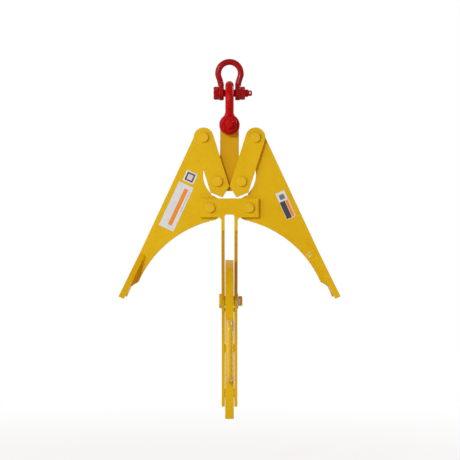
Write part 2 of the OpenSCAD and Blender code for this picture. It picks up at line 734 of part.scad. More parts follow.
upper_shackle_bow();
upper_shackle_bolt();
upper_shackle_nut();
upper_shackle_split_pin();
lower_shackle_bow();
lower_shackle_bolt();
lower_shackle_nut();
lower_shackle_split_pin();
bail();
left_link_front();
left_link_rear();
right_link_front();
right_link_rear();
left_link_pin_upper();
left_link_pin_lower();
right_link_pin_upper();
right_link_pin_lower();
left_link_washers();
right_link_washers();
left_link_split_pins();
right_link_split_pins();
left_arm();
right_arm();
left_foot();
right_foot();
yoke_plate_front();
yoke_plate_rear();
yoke_pin_left();
yoke_pin_right();
yoke_washers();
yoke_split_pins();
hook_cheek_left();
hook_cheek_right();
hook_spacer_upper();
hook_spacer_lower();
hook_stop_pin();
hook_pivot_pin();
hook_pivot_washer();
hook_pivot_split_pin();
front_hook();
hook_handle();
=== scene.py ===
# Looks for a pipe grab: bevelled plates with paint, cut edges and wear, weld beads,
# screw threads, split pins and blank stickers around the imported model.
import json
import math
import random
import bpy
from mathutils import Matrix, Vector


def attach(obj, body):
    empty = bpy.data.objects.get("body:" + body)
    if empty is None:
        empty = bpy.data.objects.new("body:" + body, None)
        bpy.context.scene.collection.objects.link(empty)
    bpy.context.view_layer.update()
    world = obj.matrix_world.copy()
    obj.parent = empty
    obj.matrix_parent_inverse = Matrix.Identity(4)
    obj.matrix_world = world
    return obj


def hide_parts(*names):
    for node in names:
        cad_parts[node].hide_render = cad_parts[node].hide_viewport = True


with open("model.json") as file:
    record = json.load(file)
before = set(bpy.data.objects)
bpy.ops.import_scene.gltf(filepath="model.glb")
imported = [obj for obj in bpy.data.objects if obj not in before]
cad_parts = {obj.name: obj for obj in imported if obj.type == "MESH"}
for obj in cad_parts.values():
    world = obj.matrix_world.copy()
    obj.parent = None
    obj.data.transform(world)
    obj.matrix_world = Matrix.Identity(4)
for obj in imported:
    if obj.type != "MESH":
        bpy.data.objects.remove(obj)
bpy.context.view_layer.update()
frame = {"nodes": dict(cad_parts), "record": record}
print("frame loaded:", len(frame["nodes"]), "nodes")


# Shader maths

class Wire:
    # One socket of a shader, which can stand in a sum with numbers and other sockets
    def __init__(self, shader, socket):
        self.shader = shader
        self.socket = socket

    def maths(self, operation, first, second=0.0):
        return self.shader.node("ShaderNodeMath", {"operation": operation}, {0: first, 1: second})

    def __add__(self, other):
        return self.maths("ADD", self, other)

    def __radd__(self, other):
        return self.maths("ADD", other, self)

    def __sub__(self, other):
        return self.maths("SUBTRACT", self, other)

    def __rsub__(self, other):
        return self.maths("SUBTRACT", other, self)

    def __mul__(self, other):
        return self.maths("MULTIPLY", self, other)

    def __rmul__(self, other):
        return self.maths("MULTIPLY", other, self)

    def most(self, other):
        return self.maths("MAXIMUM", self, other)

    def above(self, low, high):
        # 0 below low, 1 above high, smooth between
        return self.shader.node("ShaderNodeMapRange", {"interpolation_type": "SMOOTHSTEP"},
                                {"Value": self, "From Min": low, "From Max": high})


class Shader:
    # A material with one Principled surface
    def __init__(self, name):
        self.material = bpy.data.materials.new(name)
        self.material.use_nodes = True
        self.tree = self.material.node_tree
        self.surface = self.tree.nodes["Principled BSDF"]
        self.place = self.node("ShaderNodeTexCoord", output="Object")

    def node(self, kind, settings=None, sockets=None, output=0):
        made = self.tree.nodes.new(kind)
        for key, value in (settings or {}).items():
            setattr(made, key, value)
        for key, value in (sockets or {}).items():
            if isinstance(value, Wire):
                self.tree.links.new(value.socket, made.inputs[key])
            else:
                made.inputs[key].default_value = value
        return Wire(self, made.outputs[output])

    def stretched(self, scale, turn=(0, 0, 0), move=(0, 0, 0)):
        # Object coordinates, moved, turned and scaled
        moved = self.node("ShaderNodeVectorMath", {"operation": "SUBTRACT"}, {0: self.place, 1: move})
        turned = self.node("ShaderNodeMapping", {"vector_type": "POINT"},
                           {"Vector": moved, "Rotation": turn})
        return self.node("ShaderNodeVectorMath", {"operation": "MULTIPLY"}, {0: turned, 1: scale})

    def noise(self, scale, detail=3.0, roughness=0.5, place=None):
        return self.node("ShaderNodeTexNoise", None, {
            "Vector": place or self.place, "Scale": scale, "Detail": detail, "Roughness": roughness})

    def blend(self, factor, first, second):
        # Mixes two colours
        made = self.tree.nodes.new("ShaderNodeMix")
        made.data_type = "RGBA"
        for index, value in ((0, factor), (6, first), (7, second)):
            if isinstance(value, Wire):
                self.tree.links.new(value.socket, made.inputs[index])
            else:
                made.inputs[index].default_value = value
        return Wire(self, made.outputs[2])

    def bump(self, height, distance, strength=1.0, below=None):
        sockets = {"Height": height, "Distance": distance, "Strength": strength}
        if below:
            sockets["Normal"] = below
        return self.node("ShaderNodeBump", None, sockets)

    def split(self, place):
        # The x and z of a vector
        parted = self.node("ShaderNodeSeparateXYZ", None, {0: place}).socket.node
        return Wire(self, parted.outputs[0]), Wire(self, parted.outputs[2])

    def finish(self, sockets):
        for name, value in sockets.items():
            if isinstance(value, Wire):
                self.tree.links.new(value.socket, self.surface.inputs[name])
            else:
                self.surface.inputs[name].default_value = value
        return self.material


def solid(red, green, blue):
    return (red, green, blue, 1.0)


# Finishes

paint = {
    "colour": solid(0.725, 0.447, 0.0045),
    "thin": solid(0.690, 0.402, 0.003),
    # Orange that stands in for shade: painted shade on the bail's faces and the cheeks' cut edges
    "paintedShade": solid(0.480, 0.160, 0.002),
    "dust": solid(0.470, 0.330, 0.120),
    "primer": solid(0.150, 0.120, 0.090),
    "rust": solid(0.230, 0.085, 0.020),
    "steel": solid(0.42, 0.41, 0.40),
    # Pale colour for the painted highlight strokes on the right arm
    "paintedGlint": solid(0.80, 0.74, 0.60),
    "roughness": 0.40,
    "shine": 0.11,
    "peel": 0.00008,
    "wave": 0.00030,
    "drag": 0.00030,
    "chipDepth": 0.00010,
    "dustShare": 0.14,
}

redPaint = {
    "colour": solid(0.478, 0.0005, 0.0018),
    "deep": solid(0.403, 0.0003, 0.0012),
    "primer": solid(0.110, 0.020, 0.016),
    "roughness": 0.27,
    "shine": 0.10,
    "pit": 0.00020,
    "scale": 0.00008,
}

# How fine each kind of grain is, in waves per metre
grain = {
    "cloud": 7.0, "patch": 46.0, "dust": 19.0, "peel": 560.0, "wave": 48.0,
    "spots": 210.0, "long": 23.0, "rust": 90.0, "paintedGlint": 260.0,
    "drag": {"x": (22, 380, 380), "y": (380, 22, 380)}, "streak": (500, 34, 34),
    "redCloud": 38.0, "redScale": 210.0, "redPit": 90.0, "redChips": 240.0,
    "spangle": 130.0, "film": 24.0, "brushed": 700.0,
    "vinyl": 55.0, "vinylDirt": 140.0, "vinylBump": 300.0,
}

# Two short pale curved strokes on the right arm, a painted highlight,
# each (centre x, centre z, radius, width, left end, right end), and how softly they end
paintedGlintStrokes = [(0.2580, 0.3300, 0.0240, 0.0021, 0.2345, 0.2480),
          (0.2580, 0.3300, 0.0140, 0.0026, 0.2440, 0.2530)]
paintedGlintEnd = 0.002


# Mask of the pale curved strokes, a painted highlight, broken up by noise
def paintedGlintMask(shader, strokes):
    across, up = shader.split(shader.place)
    broken = shader.noise(grain["paintedGlint"], 3.0, 0.6).above(0.36, 0.60)
    mask = None
    for centreX, centreZ, radius, width, left, right in strokes:
        offset = shader.node("ShaderNodeCombineXYZ", None, {0: across - centreX, 1: 0.0, 2: up - centreZ})
        away = shader.node("ShaderNodeVectorMath", {"operation": "LENGTH"}, {0: offset}, output=1)
        off = shader.node("ShaderNodeMath", {"operation": "ABSOLUTE"}, {0: away - radius})
        stroke = (1.0 - off.above(width * 0.4, width)) * across.above(left, left + paintedGlintEnd)
        stroke = stroke * (1.0 - across.above(right - paintedGlintEnd, right))
        stroke = stroke * up.above(centreZ, centreZ + paintedGlintEnd)
        mask = stroke if mask is None else mask.most(stroke)
    return mask * broken


def yellowFinish(name, across=None, chips=0.0, rubbed=0.0, shine=None, roughness=None, strokes=None,
                 paintedShade=0.0):
    # across is the axis that a plate's thickness runs along, for the drag lines of its cut edges.
    # chips and rubbed say how much paint is gone; the painted-shade factor says how far the paint is
    # darkened towards orange, as painted shade
    shader = Shader(name)
    cloud = shader.noise(grain["cloud"], 4.0, 0.55)
    patch = shader.noise(grain["patch"], 3.0, 0.6)
    colour = shader.blend((cloud * 0.7 + patch * 0.3).above(0.40, 0.70), paint["colour"], paint["thin"])
    # Painted shade: the paint is darkened towards orange
    if paintedShade:
        colour = shader.blend(paintedShade, colour, paint["paintedShade"])
    dust = shader.noise(grain["dust"], 6.0, 0.65).above(0.62, 0.84) * paint["dustShare"]
    colour = shader.blend(dust, colour, paint["dust"])
    peel = shader.noise(grain["peel"], 2.0, 0.5)
    wave = shader.noise(grain["wave"], 2.0, 0.5)
    normal = shader.bump(wave, paint["wave"], 0.4)
    normal = shader.bump(peel, paint["peel"], 0.5, normal)
    if across:
        drag = shader.noise(1.0, 2.0, 0.6, shader.stretched(grain["drag"][across]))
        normal = shader.bump(drag, paint["drag"], 0.6, normal)
    rough = (roughness or paint["roughness"]) + patch * 0.08 + dust * 0.8
    metallic = 0.0
    if chips or rubbed:
        spots = shader.noise(grain["spots"], 5.0, 0.62)
        long = shader.noise(grain["long"], 2.0, 0.5)
        bare = (spots * 0.62 + long * 0.38).above(0.675 - chips * 0.1, 0.695 - chips * 0.1)
        rusty = shader.noise(grain["rust"], 4.0, 0.7).above(0.50, 0.62)
        metal = shader.blend(rusty, paint["primer"], paint["rust"])
        if rubbed:
            streak = shader.noise(1.0, 5.0, 0.7, shader.stretched(grain["streak"]))
            steel = (long * 0.55 + streak * 0.45).above(0.64 - rubbed * 0.12, 0.72 - rubbed * 0.12)
            metal = shader.blend(steel, metal, paint["steel"])
            bare = bare.most(steel)
            metallic = steel * 0.85
        colour = shader.blend(bare, colour, metal)
        rough = rough + bare * 0.15
        normal = shader.bump(1.0 - bare, paint["chipDepth"], 0.8, normal)
    # Pale strokes laid on the paint, a painted highlight
    if strokes:
        withPaintedGlint = paintedGlintMask(shader, strokes)
        colour = shader.blend(withPaintedGlint, colour, paint["paintedGlint"])
        rough = rough + withPaintedGlint * 0.2
    return shader.finish({"Base Color": colour, "Roughness": rough, "Metallic": metallic, "Normal": normal,
                          "Specular IOR Level": paint["shine"] if shine is None else shine})


def redFinish(name, chips=0.0, roughness=None, shadedTone=1.0, shine=None):
    # the tone factor below 1 darkens the paint, as painted shade
    shader = Shader(name)
    cloud = shader.noise(grain["redCloud"], 4.0, 0.6)
    full, deep = (solid(*[shadedTone * part for part in redPaint[key][:3]]) for key in ("colour", "deep"))
    colour = shader.blend(cloud.above(0.44, 0.76), full, deep)
    scale = shader.noise(grain["redScale"], 4.0, 0.6)
    pit = shader.noise(grain["redPit"], 3.0, 0.5)
    normal = shader.bump(pit, redPaint["pit"], 0.5)
    normal = shader.bump(scale, redPaint["scale"], 0.5, normal)
    bare = shader.noise(grain["redChips"], 5.0, 0.65).above(0.72 - chips * 0.1, 0.74 - chips * 0.1)
    colour = shader.blend(bare, colour, redPaint["primer"])
    rough = (roughness or redPaint["roughness"]) + cloud * 0.12 + bare * 0.2
    return shader.finish({"Base Color": colour, "Roughness": rough, "Normal": normal,
                          "Specular IOR Level": redPaint["shine"] if shine is None else shine})


zinc = {"film": solid(0.36, 0.30, 0.19), "filmShare": 0.35, "metallic": 0.92, "brushed": 0.00008}


def zincFinish(name, shade=0.55, roughness=0.34):
    shader = Shader(name)
    spangle = shader.noise(grain["spangle"], 3.0, 0.6)
    film = shader.noise(grain["film"], 2.0, 0.5).above(0.62, 0.80) * zinc["filmShare"]
    light = solid(shade, shade * 0.98, shade * 0.93)
    dull = solid(shade * 0.68, shade * 0.67, shade * 0.66)
    colour = shader.blend(spangle.above(0.35, 0.70), light, dull)
    colour = shader.blend(film, colour, zinc["film"])
    normal = shader.bump(shader.noise(grain["brushed"], 3.0, 0.6), zinc["brushed"], 0.6)
    return shader.finish({"Base Color": colour, "Roughness": roughness + spangle * 0.14,
                          "Metallic": zinc["metallic"], "Normal": normal})


vinyl = {
    "white": solid(0.68, 0.69, 0.71), "aged": solid(0.60, 0.60, 0.62), "dirt": solid(0.30, 0.24, 0.16),
    "dirtShare": 0.18, "roughness": 0.34, "shine": 0.3, "bump": 0.00005, "soft": 0.00012,
    "thick": 0.00030, "gap": 0.00002, "corner": 0.0032, "cornerSteps": 5,
}


def stickerFinish(name, centre, lean, blocks):
    # A blank sticker with plain colour blocks, each (x0, x1, z0, z1, colour) in the sticker's own plane
    shader = Shader(name)
    place = shader.stretched((1, 1, 1), (0, lean, 0), centre)
    across, up = shader.split(place)
    soft = vinyl["soft"]
    age = shader.noise(grain["vinyl"], 4.0, 0.6).above(0.40, 0.70) * 0.5
    colour = shader.blend(age, vinyl["white"], vinyl["aged"])
    for x0, x1, z0, z1, blockColour in blocks:
        inside = across.above(x0 - soft, x0 + soft) * (1.0 - across.above(x1 - soft, x1 + soft))
        inside = inside * up.above(z0 - soft, z0 + soft) * (1.0 - up.above(z1 - soft, z1 + soft))
        colour = shader.blend(inside, colour, blockColour)
    dirt = shader.noise(grain["vinylDirt"], 6.0, 0.7).above(0.62, 0.75) * vinyl["dirtShare"]
    colour = shader.blend(dirt, colour, vinyl["dirt"])
    normal = shader.bump(shader.noise(grain["vinylBump"], 2.0, 0.5), vinyl["bump"], 0.5)
    return shader.finish({"Base Color": colour, "Roughness": vinyl["roughness"] + dirt * 1.2,
                          "Normal": normal, "Specular IOR Level": vinyl["shine"]})


finishes = {
    "face": yellowFinish("yellowFace", chips=0.05),
    # The right arm's faces carry pale curved strokes, a painted highlight
    "withPaintedGlint": yellowFinish("yellowPaintedGlint", chips=0.05, strokes=paintedGlintStrokes),
    # The bail's faces are darkened towards orange, a painted shade
    "bailFacePaintedShade": yellowFinish("yellowBailPaintedShade", chips=0.05, paintedShade=0.36),
    "cutX": yellowFinish("yellowCutX", across="x", chips=0.1),
    "cutY": yellowFinish("yellowCutY", across="y", chips=0.1),
    # The cheeks' cut edges are darkened towards orange, a painted shade
    "cutCheekPaintedShade": yellowFinish("yellowCutCheekPaintedShade", across="x", chips=0.1, paintedShade=0.5),
    "rim": yellowFinish("yellowRim", chips=0.22),
    "throat": yellowFinish("yellowThroat", across="x", chips=0.3, rubbed=0.42),
    "round": yellowFinish("yellowRound", chips=0.1, shine=0.30, roughness=0.28),
    "grip": yellowFinish("yellowGrip", shine=0.36, roughness=0.15),
    "weld": yellowFinish("yellowWeld"),
    "red": redFinish("redForged", chips=0.05),
    "redRim": redFinish("redRim", chips=0.16),
    # The upper shackle's bow, bolt and nut are a darkened red, a painted shade; the bow is also glossier
    "redBowPaintedShade": redFinish("redBowPaintedShade", chips=0.05, roughness=0.14, shadedTone=0.72, shine=0.12),
    "redPaintedShade": redFinish("redPaintedShade", chips=0.05, shadedTone=0.74),
    "redWire": redFinish("redWire", roughness=0.60),
    "zinc": zincFinish("zincPlated"),
    "bright": zincFinish("brightWire", shade=0.66, roughness=0.26),
}
print("finishes:", len(finishes))


# Tools for modelling

def deselect():
    if bpy.context.mode != "OBJECT":
        bpy.ops.object.mode_set(mode="OBJECT")
    bpy.ops.object.select_all(action="DESELECT")


def pick(piece):
    deselect()
    piece.select_set(True)
    bpy.context.view_layer.objects.active = piece


def settle(piece):
    # Puts a piece's place into its mesh
    pick(piece)
    bpy.ops.object.transform_apply(location=True, rotation=True, scale=True)


def smooth(piece, degrees=32):
    pick(piece)
    bpy.ops.object.shade_smooth_by_angle(angle=math.radians(degrees))


def applied(piece, kind, **settings):
    modifier = piece.modifiers.new(kind.title(), kind)
    for key, value in settings.items():
        setattr(modifier, key, value)
    pick(piece)
    bpy.ops.object.modifier_apply(modifier=modifier.name)


# Points nearer than this are one, faces flatter than this are one
merging = {"near": 0.000004, "flat": math.radians(0.3), "pathNear": 0.000002}


def mergedCopy(node, name):
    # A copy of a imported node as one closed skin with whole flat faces
    piece = bpy.data.objects.new(name, frame["nodes"][node].data.copy())
    bpy.context.scene.collection.objects.link(piece)
    pick(piece)
    bpy.ops.object.mode_set(mode="EDIT")
    bpy.ops.mesh.select_all(action="SELECT")
    bpy.ops.mesh.remove_doubles(threshold=merging["near"])
    bpy.ops.mesh.dissolve_limited(angle_limit=merging["flat"])
    bpy.ops.object.mode_set(mode="OBJECT")
    return piece


def repaint(piece, names):
    piece.data.materials.clear()
    for name in names:
        piece.data.materials.append(finishes[name])


def place(piece, body, slotName, *nodes):
    # Puts a finished piece on its body, in the stead of the nodes it stands for
    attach(piece, body)
    if nodes:
        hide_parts(*nodes)
    return piece


def drawnPath(name, points, radius, radii=None, closed=False, sides=3):
    # A wire or bead: one point is drawn out along the path, made a curve, thickened and made a mesh again
    deselect()
    bpy.ops.mesh.primitive_plane_add(size=0.001, location=points[0])
    piece = bpy.context.object
    piece.name = name
    bpy.ops.object.mode_set(mode="EDIT")
    bpy.ops.mesh.select_all(action="SELECT")
    bpy.ops.mesh.merge(type="CENTER")
    for before, after in zip(points, points[1:]):
        step = Vector(after) - Vector(before)
        bpy.ops.mesh.extrude_region_move(TRANSFORM_OT_translate={"value": step})
    bpy.ops.object.mode_set(mode="OBJECT")
    bpy.ops.object.convert(target="CURVE")
    curve = piece.data
    curve.bevel_depth = radius
    curve.bevel_resolution = sides
    curve.use_fill_caps = not closed
    line = curve.splines[0]
    line.use_cyclic_u = closed
    # The curve may run from the other end
    start = line.points[0].co.to_3d() + piece.location
    if radii and (start - Vector(points[0])).length > 0.0001:
        radii = radii[::-1]
    for point, size in zip(line.points, radii or []):
        point.radius = size
    bpy.ops.object.convert(target="MESH")
    settle(piece)
    bpy.ops.object.mode_set(mode="EDIT")
    bpy.ops.mesh.select_all(action="SELECT")
    bpy.ops.mesh.remove_doubles(threshold=merging["pathNear"])
    bpy.ops.mesh.normals_make_consistent(inside=False)
    bpy.ops.object.mode_set(mode="OBJECT")
    return piece


def joined(name, pieces):
    deselect()
    for piece in pieces:
        piece.select_set(True)
    bpy.context.view_layer.objects.active = pieces[0]
    if len(pieces) > 1:
        bpy.ops.object.join()
    pieces[0].name = name
    return pieces[0]


# Plates, bevelled and sorted into faces, cut edges and rims

plates = {
    "across": {
        "bail": "y", "left_link_front": "y", "left_link_rear": "y", "right_link_front": "y",
        "right_link_rear": "y", "left_arm": "y", "right_arm": "y", "yoke_plate_front": "y",
        "yoke_plate_rear": "y", "hook_cheek_left": "x", "hook_cheek_right": "x", "front_hook": "x",
        "left_foot": "foot", "right_foot": "foot",
    },
    "bevel": 0.0009,
    "segments": 3,
    "sharp": 30,
    "faceSlot": 0, "cutSlot": 1, "rimSlot": 2, "throatSlot": 3,
    "throatRadius": 0.2312,
}

# The arms lean out from their head pins, and their outer edges carry the foot plates
arm = {"lean": math.radians(25), "headRadius": 0.028, "headX": 0.080, "headZ": 0.705008, "halfThick": 0.0127}

bodyOf = {node: body for body, nodes in frame["record"]["behaviour"]["bodies"].items() for node in nodes}


def plate(node, across):
    piece = mergedCopy(node, node + "_plate")
    # The bail's faces and the cheeks' cut edges get painted shade, the right arm's faces painted highlight
    # strokes
    faceFinish = {"right_arm": "withPaintedGlint", "bail": "bailFacePaintedShade"}.get(node, "face")
    cutFinish = "cutCheekPaintedShade" if "cheek" in node else "cutX" if across == "x" else "cutY"
    repaint(piece, [faceFinish, cutFinish, "rim", "throat"])
    axis = Vector((1, 0, 0)) if across == "x" else Vector((0, 1, 0))
    if across == "foot":
        side = -1 if node.startswith("left") else 1
        axis = Vector((side * math.cos(arm["lean"]), 0, math.sin(arm["lean"])))
    for face in piece.data.polygons:
        flat = abs(face.normal.dot(axis)) > 0.7
        face.material_index = plates["faceSlot"] if flat else plates["cutSlot"]
        if across == "x" and not flat and math.hypot(face.center.y, face.center.z) < plates["throatRadius"]:
            face.material_index = plates["throatSlot"]
    applied(piece, "BEVEL", width=plates["bevel"], segments=plates["segments"], limit_method="ANGLE",
            angle_limit=math.radians(plates["sharp"]), use_clamp_overlap=False, loop_slide=False,
            material=plates["rimSlot"])
    smooth(piece, 40)
    applied(piece, "WEIGHTED_NORMAL", mode="FACE_AREA", weight=80, keep_sharp=True)
    return place(piece, bodyOf[node], "yellow_paint", node)


for node, across in plates["across"].items():
    plate(node, across)
print("plates:", len(plates["across"]))


# Turned and forged pieces, with softened edges

turned = {
    "yellow": {
        "finishes": ["round", "rim"], "slot": "yellow_paint", "bevel": 0.0007,
        "nodes": ["left_link_pin_upper", "left_link_pin_lower", "right_link_pin_upper",
                  "right_link_pin_lower", "yoke_pin_left", "yoke_pin_right", "hook_pivot_pin",
                  "hook_stop_pin", "hook_spacer_upper", "hook_spacer_lower"],
    },
    "grip": {
        "finishes": ["grip", "grip"], "slot": "yellow_paint", "bevel": 0.0005, "nodes": ["hook_handle"],
    },
    # The upper shackle's bolt and nut are a darkened red, a painted shade
    "upperForged": {
        "finishes": ["redPaintedShade", "redRim"], "slot": "red_paint", "bevel": 0.0009,
        "nodes": ["upper_shackle_bolt", "upper_shackle_nut"],
    },
    "lowerForged": {
        "finishes": ["red", "redRim"], "slot": "red_paint", "bevel": 0.0009,
        "nodes": ["lower_shackle_bolt", "lower_shackle_nut"],
    },
    "washers": {
        "finishes": ["zinc", "zinc"], "slot": "zinc_steel", "bevel": 0.0004,
        "nodes": ["left_link_washers", "right_link_washers", "yoke_washers", "hook_pivot_washer"],
    },
}

for group in turned.values():
    for node in group["nodes"]:
        piece = mergedCopy(node, node + "_part")
        repaint(piece, group["finishes"])
        applied(piece, "BEVEL", width=group["bevel"], segments=2, limit_method="ANGLE",
                angle_limit=math.radians(34), use_clamp_overlap=False, material=1)
        smooth(piece, 36)
        applied(piece, "WEIGHTED_NORMAL", mode="FACE_AREA", weight=60, keep_sharp=True)
        place(piece, bodyOf[node], group["slot"], node)

# The bows are forgings: one closed skin of small faces, eased until every corner is soft

# The upper bow's red is darkened, a painted shade
bows = {"skin": 0.0008, "ease": 0.5, "rounds": 9,
        "finishes": {"upper_shackle_bow": "redBowPaintedShade", "lower_shackle_bow": "red"}}

for node, finish in bows["finishes"].items():
    piece = mergedCopy(node, node + "_forging")
    applied(piece, "REMESH", mode="VOXEL", voxel_size=bows["skin"], adaptivity=0.0)
    applied(piece, "SMOOTH", factor=bows["ease"], iterations=bows["rounds"])
    repaint(piece, [finish])
    pick(piece)
    bpy.ops.object.shade_smooth()
    place(piece, bodyOf[node], "red_paint", node)
print("turned and forged pieces done")


# Weld beads: drawn along their seam with ripples

foot = {"thick": 0.018, "topAt": 0.4082, "seamLength": 0.101, "seamBead": 0.0045, "topBead": 0.0028}
bead = {"ripple": 0.0018, "swell": 0.09, "uneven": 0.05}


def armPoint(side, along, out, depth):
    # A point by its distance down the arm's outer edge from the head pin, and out from the pin's line
    x = arm["headX"] + along * math.sin(arm["lean"]) + out * math.cos(arm["lean"])
    z = arm["headZ"] - along * math.cos(arm["lean"]) + out * math.sin(arm["lean"])
    return (side * x, depth, z)


def stepped(start, end, spacing):
    count = max(2, round((Vector(end) - Vector(start)).length / spacing))
    return [tuple(Vector(start).lerp(Vector(end), index / count)) for index in range(count + 1)]


def weld(name, body, points, radius, closed=False):
    # An open bead tapers at its ends
    count = len(points)
    radii = []
    for index in range(count):
        size = 1.0 - bead["swell"] * (index % 2) + random.uniform(-bead["uneven"], bead["uneven"])
        if not closed:
            size *= min(1.0, 0.55 + 0.2 * min(index, count - 1 - index))
        radii.append(size)
    piece = drawnPath(name, points, radius, radii, closed)
    repaint(piece, ["weld"])
    smooth(piece, 60)
    return place(piece, body, "yellow_paint")


random.seed(11)
for sideName, side in (("left", -1), ("right", 1)):
    body = sideName + "_arm_body"
    inner = arm["headRadius"] - foot["thick"]
    for faceName, face in (("front", -1), ("rear", 1)):
        depth = face * (arm["halfThick"] + 0.001)
        seam = stepped(armPoint(side, foot["topAt"] + 0.003, inner - 0.001, depth),
                       armPoint(side, foot["topAt"] + foot["seamLength"], inner - 0.001, depth),
                       bead["ripple"])
        weld(sideName + "_foot_weld_" + faceName, body, seam, foot["seamBead"])
        topAlong, topDepth = foot["topAt"] + 0.0004, depth - face * 0.0012
        top = stepped(armPoint(side, topAlong, inner + 0.001, topDepth),
                      armPoint(side, topAlong, arm["headRadius"] - 0.001, topDepth), bead["ripple"])
        weld(sideName + "_foot_top_weld_" + faceName, body, top, foot["topBead"])

cheekSeat = {"inner": 0.0151, "outer": 0.0251, "prongEnd": 0.4172, "plateIn": 0.0137, "bead": 0.0024}
for sideName, side in (("left", -1), ("right", 1)):
    for faceName, face in (("front", -1), ("rear", 1)):
        depth = face * (cheekSeat["plateIn"] + 0.0008)
        height = cheekSeat["prongEnd"] - 0.0008
        seam = stepped((side * (cheekSeat["inner"] + 0.0006), depth, height),
                       (side * (cheekSeat["outer"] - 0.0006), depth, height), bead["ripple"])
        weld(sideName + "_cheek_weld_" + faceName, "yoke", seam, cheekSeat["bead"])

spacers = {"radius": 0.011, "reach": 0.27875, "rises": {"upper": 8, "lower": -22}, "cheekIn": 0.0142,
           "bead": 0.0026, "steps": 48}
for spacerName, rise in spacers["rises"].items():
    rise = math.radians(rise)
    middle = Vector((0, spacers["reach"] * math.cos(rise), spacers["reach"] * math.sin(rise)))
    around = spacers["radius"] + 0.0006
    for sideName, side in (("left", -1), ("right", 1)):
        ring = []
        for index in range(spacers["steps"]):
            turn = math.tau * index / spacers["steps"]
            ring.append(tuple(middle + Vector((side * spacers["cheekIn"], around * math.cos(turn),
                                               around * math.sin(turn)))))
        weld("spacer_weld_" + spacerName + "_" + sideName, "yoke", ring, spacers["bead"], closed=True)

handle = {"radius": 0.0085, "hookBack": 0.3275, "ends": {"upper": 0.1485, "lower": -0.0155},
          "bead": 0.0026, "steps": 36}
for endName, height in handle["ends"].items():
    ring = []
    around = handle["radius"] + 0.0004
    for index in range(handle["steps"]):
        turn = math.tau * index / handle["steps"]
        x = around * math.cos(turn)
        z = height + around * math.sin(turn)
        ring.append((x, -math.sqrt(handle["hookBack"] ** 2 - z * z) - 0.0002, z))
    weld("handle_weld_" + endName, "swing_hook", ring, handle["bead"], closed=True)
print("weld beads done")


# Screw threads on the shackle bolts: ridges with a fine pitch, drawn as one rod whose thickness waves

threads = {
    # The upper thread's red is darkened, a painted shade
    "upper": {"body": "upper_shackle", "axis": (1, 0, 0), "height": 0.842751, "from": 0.0482, "to": 0.0574,
              "radius": 0.0115, "pitch": 0.0023, "finish": "redPaintedShade"},
    "lower": {"body": "lower_shackle", "axis": (0, -1, 0), "height": 0.743751, "from": 0.0630, "to": 0.0742,
              "radius": 0.01435, "pitch": 0.0026, "finish": "red"},
}
threadWave = (1.035, 1.018, 0.985, 1.018)


def threadedRod(name, look):
    axis = Vector(look["axis"])
    base = Vector((0, 0, look["height"]))
    count = round((look["to"] - look["from"]) / look["pitch"] * len(threadWave))
    points, radii = [], []
    for index in range(count + 1):
        reach = look["from"] + (look["to"] - look["from"]) * index / count
        points.append(tuple(base + axis * reach))
        radii.append(threadWave[index % len(threadWave)])
    piece = drawnPath(name, points, look["radius"], radii, sides=10)
    repaint(piece, [look["finish"]])
    smooth(piece, 24)
    return place(piece, look["body"], "red_paint")


for threadName, look in threads.items():
    threadedRod(threadName + "_shackle_thread", look)
print("threads done")


# Split pins: one bent wire each, doubled back through its hole

splitPins = {
    "link": {"hole": 0.0026, "reach": 0.0125, "behind": 0.0322},
    "pivot": {"hole": 0.0026, "reach": 0.016, "behind": 0.0309},
    "spots": {
        "left_link": [(-0.080, 0.705008), (-0.037, 0.569151)],
        "right_link": [(0.080, 0.705008), (0.037, 0.569151)],
        "yoke": [(-0.0603, 0.488), (0.0603, 0.488)],
    },
    "pivotCentre": (0.200516, 0.193636),
}

# The wire's shape in parts of its hole: half its thickness, its eye, and the bent ends of both legs
# as (past the reach, away from the middle)
pinShape = {
    "wire": 0.47, "eye": 1.55, "neck": 1.25, "eyeSteps": 12, "eyeFrom": 35, "eyeSweep": 290,
    "firstEnds": [(2.4, 2.6), (1.5, 1.3)], "lastEnds": [(1.6, 1.6), (2.2, 3.0)], "straight": 0.4,
}


def splitPinWire(name, centre, axis, spread, hole, reach, twist, finish="bright"):
    # axis runs along the hole to the bent ends, spread is the way that they part
    axis, spread, centre = Vector(axis), Vector(spread), Vector(centre)
    wire = hole * pinShape["wire"]
    eye = hole * pinShape["eye"]
    head = centre - axis * (reach + eye * pinShape["neck"])
    straight = reach + hole * pinShape["straight"]
    path = [centre + axis * (reach + hole * past) + spread * (hole * out * twist)
            for past, out in pinShape["firstEnds"]]
    path += [centre + axis * straight + spread * wire,
             centre + spread * wire,
             centre - axis * reach + spread * wire]
    for index in range(pinShape["eyeSteps"] + 1):
        turn = math.radians(pinShape["eyeFrom"] + pinShape["eyeSweep"] * index / pinShape["eyeSteps"])
        path.append(head + axis * (eye * math.cos(turn)) + spread * (eye * math.sin(turn)))
    path += [centre - axis * reach - spread * wire,
             centre - spread * wire,
             centre + axis * straight - spread * wire]
    path += [centre + axis * (reach + hole * past) - spread * (hole * out)
             for past, out in pinShape["lastEnds"]]
    piece = drawnPath(name, [tuple(point) for point in path], wire, sides=4)
    repaint(piece, [finish])
    smooth(piece, 50)
    return piece


for body, spots in splitPins["spots"].items():
    node = body + "_split_pins"
    look = splitPins["link"]
    pieces = []
    for index, (x, z) in enumerate(spots):
        pieces.append(splitPinWire(node + "_wire" + str(index), (x, look["behind"], z), (1, 0, 0), (0, 0, 1),
                                   look["hole"], look["reach"], 0.8 + 0.15 * index))
    place(joined(node + "_wire", pieces), body, "zinc_steel", node)

look = splitPins["pivot"]
pivotWire = splitPinWire("pivot_wire", (look["behind"], *splitPins["pivotCentre"]), (0, -1, 0), (0, 0, 1),
                         look["hole"], look["reach"], 0.9)
place(pivotWire, "yoke", "zinc_steel", "hook_pivot_split_pin")

